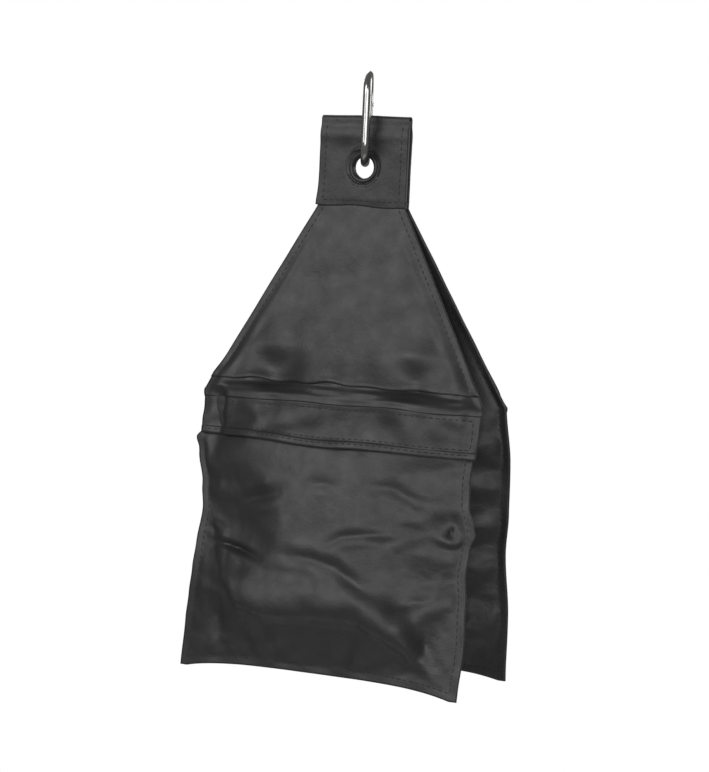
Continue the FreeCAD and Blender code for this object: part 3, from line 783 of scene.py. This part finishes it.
def tape_material(name, hooks):
    """Hook tape, with rows of stiff hooks, or loop tape, with a brushed pile."""
    made, tree, shader = material(name, (0.02, 0.02, 0.021), 0.75, sheen=0.1 if hooks else 0.7)
    height = weave(tree, 1.9) if hooks else noise(tree, place(tree, "cloth"), 1.6, 6, 0.7)
    spread(tree, shader, "Base Color", height, (0.012, 0.012, 0.013), (0.04, 0.04, 0.042))
    bump(tree, shader, [(height, 0.9, 0.0006)])
    return made


def webbing():
    made, tree, shader = material("webbing", (0.04, 0.04, 0.042), 0.7, sheen=0.3)
    ribs = node(tree, "ShaderNodeTexWave", Scale=420.0, Distortion=0.6)
    tree.links.new(place(tree, "object"), ribs.inputs["Vector"])
    spread(tree, shader, "Base Color", ribs.outputs["Fac"], (0.025, 0.025, 0.027), (0.05, 0.05, 0.052))
    bump(tree, shader, [(ribs.outputs["Fac"], 0.6, 0.0003)])
    return made


def steel(name, colour, roughness, polish):
    """Plated metal, with faint wear and drawing lines along it."""
    made, tree, shader = material(name, colour, roughness, metallic=1.0)
    around = place(tree, "object", (1, 1, 0.25))
    low = [c * 0.82 for c in colour]
    high = [min(1, c * 1.08) for c in colour]
    spread(tree, shader, "Base Color", noise(tree, around, 160, 4), low, high)
    spread(tree, shader, "Roughness", noise(tree, around, 420, 4), roughness - polish, roughness + polish)
    bump(tree, shader, [(noise(tree, around, 900, 3), 0.12, 0.0001)])
    return made


def painted():
    made, tree, shader = material("black_eyelet", (0.015, 0.015, 0.016), 0.45, coat=0.1)
    around = place(tree, "object")
    tone = noise(tree, around, 520, 5)
    spread(tree, shader, "Base Color", tone, (0.009, 0.009, 0.01), (0.026, 0.026, 0.027), (0.35, 0.9))
    spread(tree, shader, "Roughness", noise(tree, around, 700, 3), 0.4, 0.55)
    bump(tree, shader, [(noise(tree, around, 1500, 3), 0.2, 0.0001)])
    return made


def film():
    made, tree, shader = material("clear_film", (0.75, 0.77, 0.78), 0.22)
    shader.inputs["Alpha"].default_value = 0.35
    around = place(tree, "object")
    spread(tree, shader, "Roughness", noise(tree, around, 90, 5), 0.12, 0.35)
    bump(tree, shader, [(noise(tree, around, 110, 5), 0.8, 0.0015)])
    return made


def sand_material():
    made, tree, shader = material("sand", (0.5, 0.4, 0.27), 0.9)
    around = place(tree, "object")
    grains = noise(tree, around, 1500, 4, 0.8)
    spread(tree, shader, "Base Color", grains, (0.28, 0.21, 0.13), (0.62, 0.52, 0.37))
    bump(tree, shader, [(noise(tree, around, 1700, 3, 0.8), 1.0, 0.0006)])
    return made


LOOKS = {
    "nylon": nylon(),
    "thread": thread_material(),
    "loop_tape": tape_material("loop_tape", False),
    "hook_tape": tape_material("hook_tape", True),
    "webbing": webbing(),
    "hook_steel": steel("hook_steel", (0.5, 0.5, 0.49), 0.2, 0.06),
    "pin_steel": steel("pin_steel", (0.5, 0.5, 0.5), 0.3, 0.08),
    "spring_steel": steel("spring_steel", (0.45, 0.45, 0.46), 0.28, 0.06),
    "black_eyelet": painted(),
    "clear_film": film(),
    "sand": sand_material(),
}


# ---------------- building

def finish_piece(piece, slot, replaced=(), body=None):
    """Gives a piece its look, and says what it rides on and which CAD nodes it stands for.
    """
    piece.data.materials.append(LOOKS[slot])
    if body:
        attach(piece, body)
    else:
        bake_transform(piece)
    if replaced:
        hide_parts(*replaced)


def seam_lines(face, end, first, last, out, bottom=True):
    """Rows of stitching down a face's two side seams, from one row to another, and along its bottom seam."""
    columns = (FLANGE, face.shape[1] - 1 - FLANGE)
    rows = [(to_row(face[first:last, column], end), out) for column in columns]
    if bottom:
        rows.append((to_row(face[-1 - FLANGE, columns[0]:columns[1] + 1], end), out))
    return rows


def build_half(end):
    body = end + "_half"
    flap_body = end + "_flap"
    out = to_row((0, 0, 1), end) - to_row((0, 0, 0), end)
    out /= np.linalg.norm(out)
    front, back = pouch_grids(end)

    near = lining_grid(end, back)
    lining, lining_face = cloth_piece(end + "_lining_cloth", near, end, side=-1)
    finish_piece(lining, "nylon", [end + "_lining"])
    near = yoke_grid(end)
    pressed = CLOTH * (1 - 0.7 * smoothstep(YOKE_END - 3, YOKE_END, near[..., 1]))
    yoke, yoke_face = cloth_piece(end + "_yoke_cloth", near, end, thick=pressed)
    finish_piece(yoke, "nylon", [end + "_yoke"])
    panel, panel_face = cloth_piece(end + "_pouch_cloth", front[MOUTH_ROW:], end)
    finish_piece(panel, "nylon", [end + "_pouch_panel"], body=body)
    flap_face = flap_grid(end, front)
    thick = CLOTH + 0.5 * smoothstep(HEM_TOP, HEM_FULL, flap_face[..., 1])
    flap, _ = cloth_piece(end + "_flap_cloth", flap_face, end, lift=-thick, thick=thick)
    band = flap_face[[s > TUCK_LINE + 1 for s, _ in flap_stops()]]
    finish_piece(flap, "nylon", [end + "_flap"])

    rows = seam_lines(panel_face, end, 0, -FLANGE, out)
    finish_piece(threads(end + "_pouch_stitches", rows), "thread", [end + "_edge_stitching"], body=body)
    rows = seam_lines(yoke_face, end, 3, None, out, bottom=False)
    finish_piece(threads(end + "_yoke_stitches", rows), "thread")
    rows = seam_lines(lining_face, end, 6, -FLANGE, -out)
    finish_piece(threads(end + "_lining_stitches", rows), "thread")
    finish_piece(flap_threads(end, band, out), "thread", [end + "_flap_stitching"])

    loop, hook = tapes(end, front, band)
    finish_piece(loop, "loop_tape", [end + "_loop_tape"], body=body)
    finish_piece(hook, "hook_tape", [end + "_hook_tape"], body=flap_body)
    liner, sand = filling(end, front, back)
    finish_piece(liner, "clear_film", [end + "_sand_liner"], body=body)
    finish_piece(sand, "sand", [end + "_sand"], body=body)


def tapes(end, front, band):
    """Loop tape on the pouch and hook tape sewn under the flap's band, one over the other."""
    down = np.linspace(TAPE_TOP, TAPE_END, 15)
    s, x = np.meshgrid(down, np.linspace(TAPE_LEFT, TAPE_RIGHT, 111), indexing="ij")
    grid = np.stack([x, s, surface_at(front, x, s)], -1)
    over = PLY_GAP + CLOTH + TAPE_GAP
    loop, _ = cloth_piece(end + "_loop_strip", grid, end, lift=over, thick=TAPE)
    s, x = band[:, band.shape[1] // 2, 1], band[0, :, 0]
    grid = band[(s > TAPE_TOP - 1) & (s < TAPE_END)][:, (x > TAPE_LEFT - 0.5) & (x < TAPE_RIGHT + 0.5)]
    under = -CLOTH - TAPE_GAP / 2 - TAPE
    hook, _ = cloth_piece(end + "_hook_strip", grid, end, lift=under, thick=TAPE)
    return loop, hook


def flap_threads(end, face, out):
    """The box of stitching that holds the tape, and the hem's row."""
    s, x = face[:, face.shape[1] // 2, 1], face[0, :, 0]
    top, low, hem = (nearest(s, stop) for stop in (TAPE_TOP + 1, TAPE_END - 1, FLAP_END - 2))
    left, right = (nearest(x, stop) for stop in (TAPE_LEFT + 1, TAPE_RIGHT - 1))
    lines = [face[top, left:right + 1], face[low, left:right + 1], face[top:low + 1, left],
             face[top:low + 1, right], face[hem, 3:-3]]
    return threads(end + "_flap_stitches", [(to_row(line, end), out) for line in lines])


def pouch_ring(end, cloths, s, margin, gap, crumple=0.0):
    """Ring of points inside a pouch at one distance down it, clear of its side seams and its two cloths."""
    left, right = (cloths[0][:, column] for column in (FLANGE, -1 - FLANGE))
    reach_left = np.interp(s, left[:, 1], left[:, 0]) + margin
    reach_right = np.interp(s, right[:, 1], right[:, 0]) - margin
    x = np.linspace(reach_left, reach_right, RING_POINTS)
    level = x * 0 + s
    top, low = (surface_at(cloth, x[None], level[None])[0] for cloth in cloths)
    half = np.maximum((top - low) / 2 - gap, LEAST_HALF)
    q = np.linspace(-1, 1, RING_POINTS)
    half = np.minimum(half, LEAST_HALF + 30 * (1 - np.abs(q)) ** 0.75)
    wobble = crumple * waves(x, level, SEED[end] + 80, 9) * np.clip(half / 2 - 0.1, 0, 1)
    heights = [(top + low) / 2 + side * np.maximum(half + side * wobble, LEAST_HALF) for side in (1, -1)]
    upper, lower = (np.stack([x, level, height], -1) for height in heights)
    return np.concatenate([upper, lower[::-1]])


def bag(end, name, outside, inside=None):
    """Tube of rings closed at its lower end, with an inside if it is hollow or a lid if it isn't."""
    size = outside.shape[1]
    rings = [outside] if inside is None else [outside, inside]
    points = to_row(np.concatenate([r.reshape(-1, 3) for r in rings]), end)
    faces = []
    base = 0
    for number, r in enumerate(rings):
        index = base + np.arange(len(r) * size).reshape(len(r), size)
        quads = tube_cells(index)[:, [0, 3, 2, 1]]
        faces += (quads if number == 0 else quads[:, ::-1]).tolist()
        caps = [(index[-1], number == 1)] + ([(index[0], True)] if inside is None else [])
        for loop, turned in caps:
            for k in range(size // 2 - 1):
                quad = [int(loop[k]), int(loop[k + 1]), int(loop[size - 2 - k]), int(loop[size - 1 - k])]
                faces.append(quad[::-1] if turned else quad)
        base += len(r) * size
    if inside is not None:
        a, b = np.arange(size), len(outside) * size + np.arange(size)
        faces += np.stack([a, np.roll(a, -1), np.roll(b, -1), b], -1).tolist()
    return new_piece(name, points, faces)


def filling(end, front, back):
    """Liner, a thin bag open at its neck, and the sand in it, between the pouch's two cloths."""
    def rings(stops, *room):
        return np.stack([pouch_ring(end, (front, back), s, *room) for s in stops])

    stops = np.linspace(*FILM_SPAN, 48)
    outside = rings(stops, 3.2, 1.0, CRUMPLE)
    inside = rings(stops[:-1], 3.8, 1.25, CRUMPLE)
    liner = bag(end, end + "_liner_film", outside, inside)
    sand = bag(end, end + "_sand_fill", rings(np.linspace(*SAND_SPAN, 36), 4.8, 1.9))
    return liner, sand


def tab_profile():
    """Path of the tab's strip up one leaf, over the fold and down the other, as (y, z) in millimetres."""
    angles = np.linspace(0, math.pi, 11)[1:-1]
    path = [(-TAB_FOLD, TAB_BASE + v) for v in TAB_ROWS]
    path += [(-TAB_FOLD * math.cos(a), TAB_BASE + TAB_ROWS[-1] + TAB_FOLD * math.sin(a)) for a in angles]
    path += [(TAB_FOLD, TAB_BASE + v) for v in TAB_ROWS[::-1]]
    return np.array(path)


def tab_face(profile):
    """Outer face of the tab's strip, dented beside the hook and flared where the halves leave it."""
    x = np.broadcast_to(TAB_COLUMNS, (len(profile), len(TAB_COLUMNS))).copy()
    y = np.broadcast_to(profile[:, :1], x.shape).copy()
    z = np.broadcast_to(profile[:, 1:], x.shape).copy()
    side = np.where(y < 0, -1.0, 1.0)
    low, high = z - TAB_BASE, TAB_BASE + TAB_HEIGHT - z
    puff = 1.2 * smoothstep(1, 12, high)
    puff -= 0.6 * hump(np.abs(x + 1.5), 10.0, 6.0) * hump(z, EYE_Z + 8, 7.0)
    puff += 0.5 * hump(z, EYE_Z + 17, 4) * smoothstep(2, 7, high)
    puff += 0.22 * waves(x, z, 90, 15)
    flare = 1.0 - smoothstep(0, 5, low)
    free = smoothstep(EYE_R + 0.4, EYE_R + 2.5, np.hypot(x, z - EYE_Z))  # of the eyelet's flange
    near = (puff * (1 - flare) + flare * 0.95 - 0.35) * free - 0.33 * (1 - free)
    leaf = smoothstep(TAB_FOLD + 0.3, TAB_FOLD + 5, high)
    y += side * leaf * np.maximum(near, -0.35)
    corner = hump(x, -TAB_WIDTH / 2, 6) * hump(low, 0, 7) * (side < 0)
    y -= 0.8 * corner * leaf
    x -= 0.9 * corner
    z += 0.5 * waves(x, x * 0 + 5, 91, 30) * hump(low, 0, 3)
    z += 0.35 * hump(np.abs(x), 0, 14) * hump(high, 0, 2)
    return np.stack([x, y, z], -1)


def build_tab():
    """The tab's strip, folded round the webbing core and cut out for the eyelet."""
    profile = tab_profile()
    outer = tab_face(profile)
    run = np.concatenate([[0], np.cumsum(np.linalg.norm(np.diff(profile, axis=0), axis=1))])
    flat = outer * (1, 0, 0) + run[:, None, None] * (0, 1, 0)
    n = np.cross(np.gradient(outer, axis=1), np.gradient(outer, axis=0))
    n /= np.linalg.norm(n, axis=-1, keepdims=True)
    middle = np.array([0, 0, TAB_BASE + TAB_HEIGHT / 2])
    n *= np.sign(np.sum(n * (outer - middle) * (0, 1, 1), -1, keepdims=True) + 1e-9)
    inner = outer - n * CLOTH
    hole = EYE_R - 0.9
    for grid in (outer, inner):
        d = grid[..., [0, 2]] - (0, EYE_Z)
        r = np.linalg.norm(d, axis=-1, keepdims=True)
        leaves = (np.abs(grid[..., 1:2]) < TAB_FOLD + 3) & (grid[..., 2:3] < EYE_Z + 12)
        moved = np.where((r > hole - 0.75) & (r < hole + 0.5) & leaves, hole / np.maximum(r, 1e-6), 1)
        grid[..., [0, 2]] = (0, EYE_Z) + d * moved
    centre = (outer[:-1, :-1] + outer[1:, 1:]) / 2
    kept = (np.hypot(centre[..., 0], centre[..., 2] - EYE_Z) > hole - 0.2).reshape(-1)
    tab = ply("tab_cloth", outer * MM, inner * MM, flat, kept)
    finish_piece(tab, "nylon", ["tab_sleeve"], body="tab")
    finish_piece(threads("tab_stitches", tab_seams(outer)), "thread", ["tab_stitching"], body="tab")


def tab_seams(outer):
    """Rows of stitching inside the edges of both leaves."""
    inset, count, columns = 3.2, len(TAB_ROWS), len(TAB_COLUMNS)
    row, last = nearest(TAB_ROWS, inset), nearest(TAB_ROWS, TAB_HEIGHT - inset - 1)
    left = nearest(TAB_COLUMNS, inset - TAB_WIDTH / 2)
    rows = []
    for leaf, out in ((outer[:count], (0, -1, 0)), (outer[::-1][:count], (0, 1, 0))):
        lines = (leaf[row, left:columns - left], leaf[row:last, left], leaf[row:last, columns - 1 - left])
        rows += [(line * MM, out) for line in lines]
    return rows


def dress_cad_nodes():
    """Gives each CAD node its slot's material."""
    slots = {part["node"]: part["material_slot"] for part in frame["record"]["subparts"]}
    for name, part in frame["nodes"].items():
        part.data.materials.clear()
        part.data.materials.append(LOOKS[slots[name]])
        for polygon in part.data.polygons:
            polygon.use_smooth = True


# ---------------- camera, light and floor

VIEW_AZIMUTH = 24.3
VIEW_ELEVATION = 4.1
VIEW_ROLL = 2.7
VIEW_DISTANCE = 1.247
VIEW_HEIGHT = 0.406  # seen at the object
VIEW_DROP = 0.006  # of the point looked at, below the middle of the bag
SENSOR = 36
FLOOR_DROP = 0.5  # below the bag
FLOOR_REACH = 0.45  # half the floor's side
FLOOR_TONE = 0.8
BACKDROP_LIGHT = 0.15  # the share of its white that the backdrop sheds on the bag
SUN_ANGLE = math.radians(40)
SUNS = {  # direction towards each light, and its strength
    "key": ((-0.40, -0.85, 0.34), 1.15),
    "fill": ((0.42, -0.90, 0.14), 1.1),
    "back_left": ((-0.7, 0.75, 0.5), 0.9),
    "back_right": ((0.8, 0.75, 0.35), 0.9),
}


def add_camera():
    target = Vector((0, 0, (CAD_BOX[0].z + CAD_BOX[1].z) / 2 - VIEW_DROP))
    azimuth, elevation = math.radians(VIEW_AZIMUTH), math.radians(VIEW_ELEVATION)
    away = Vector((math.sin(azimuth), -math.cos(azimuth), 0)) * math.cos(elevation)
    away.z = math.sin(elevation)
    camera = add_object("camera", bpy.data.cameras.new("camera"))
    camera.data.sensor_width = SENSOR
    camera.data.lens = SENSOR * VIEW_DISTANCE / VIEW_HEIGHT
    camera.matrix_world = (Matrix.Translation(target + away * VIEW_DISTANCE)
                           @ (-away).to_track_quat("-Z", "Y").to_matrix().to_4x4()
                           @ Matrix.Rotation(math.radians(VIEW_ROLL), 4, "Z"))
    bpy.context.scene.camera = camera


def add_floor():
    mesh = bpy.data.meshes.new("floor")
    z = CAD_BOX[0].z - FLOOR_DROP
    corners = [(x * FLOOR_REACH, y * FLOOR_REACH, z) for x, y in ((-1, -1), (1, -1), (1, 1), (-1, 1))]
    mesh.from_pydata(corners, [], [(0, 1, 2, 3)])
    mesh.materials.append(material("pale_floor", (FLOOR_TONE,) * 3, 0.9)[0])
    add_object("floor", mesh)


def add_light():
    """Soft lights, and a white backdrop that lights the bag less than it shows."""
    world = bpy.data.worlds.new("studio")
    world.use_nodes = True
    tree = world.node_tree
    seen = node(tree, "ShaderNodeLightPath").outputs["Is Camera Ray"]
    spread(tree, tree.nodes["Background"], "Color", seen, BACKDROP_LIGHT, 1.0, (0.0, 1.0))
    bpy.context.scene.world = world
    bpy.context.scene.view_settings.view_transform = "Standard"
    for name, (direction, strength) in SUNS.items():
        light = bpy.data.lights.new(name, "SUN")
        light.energy = strength
        light.angle = SUN_ANGLE
        sun = add_object(name, light)
        sun.rotation_euler = (-Vector(direction)).to_track_quat("-Z", "Y").to_euler()


dress_cad_nodes()
build_tab()
for half in ENDS:
    build_half(half)
add_camera()
add_floor()
add_light()
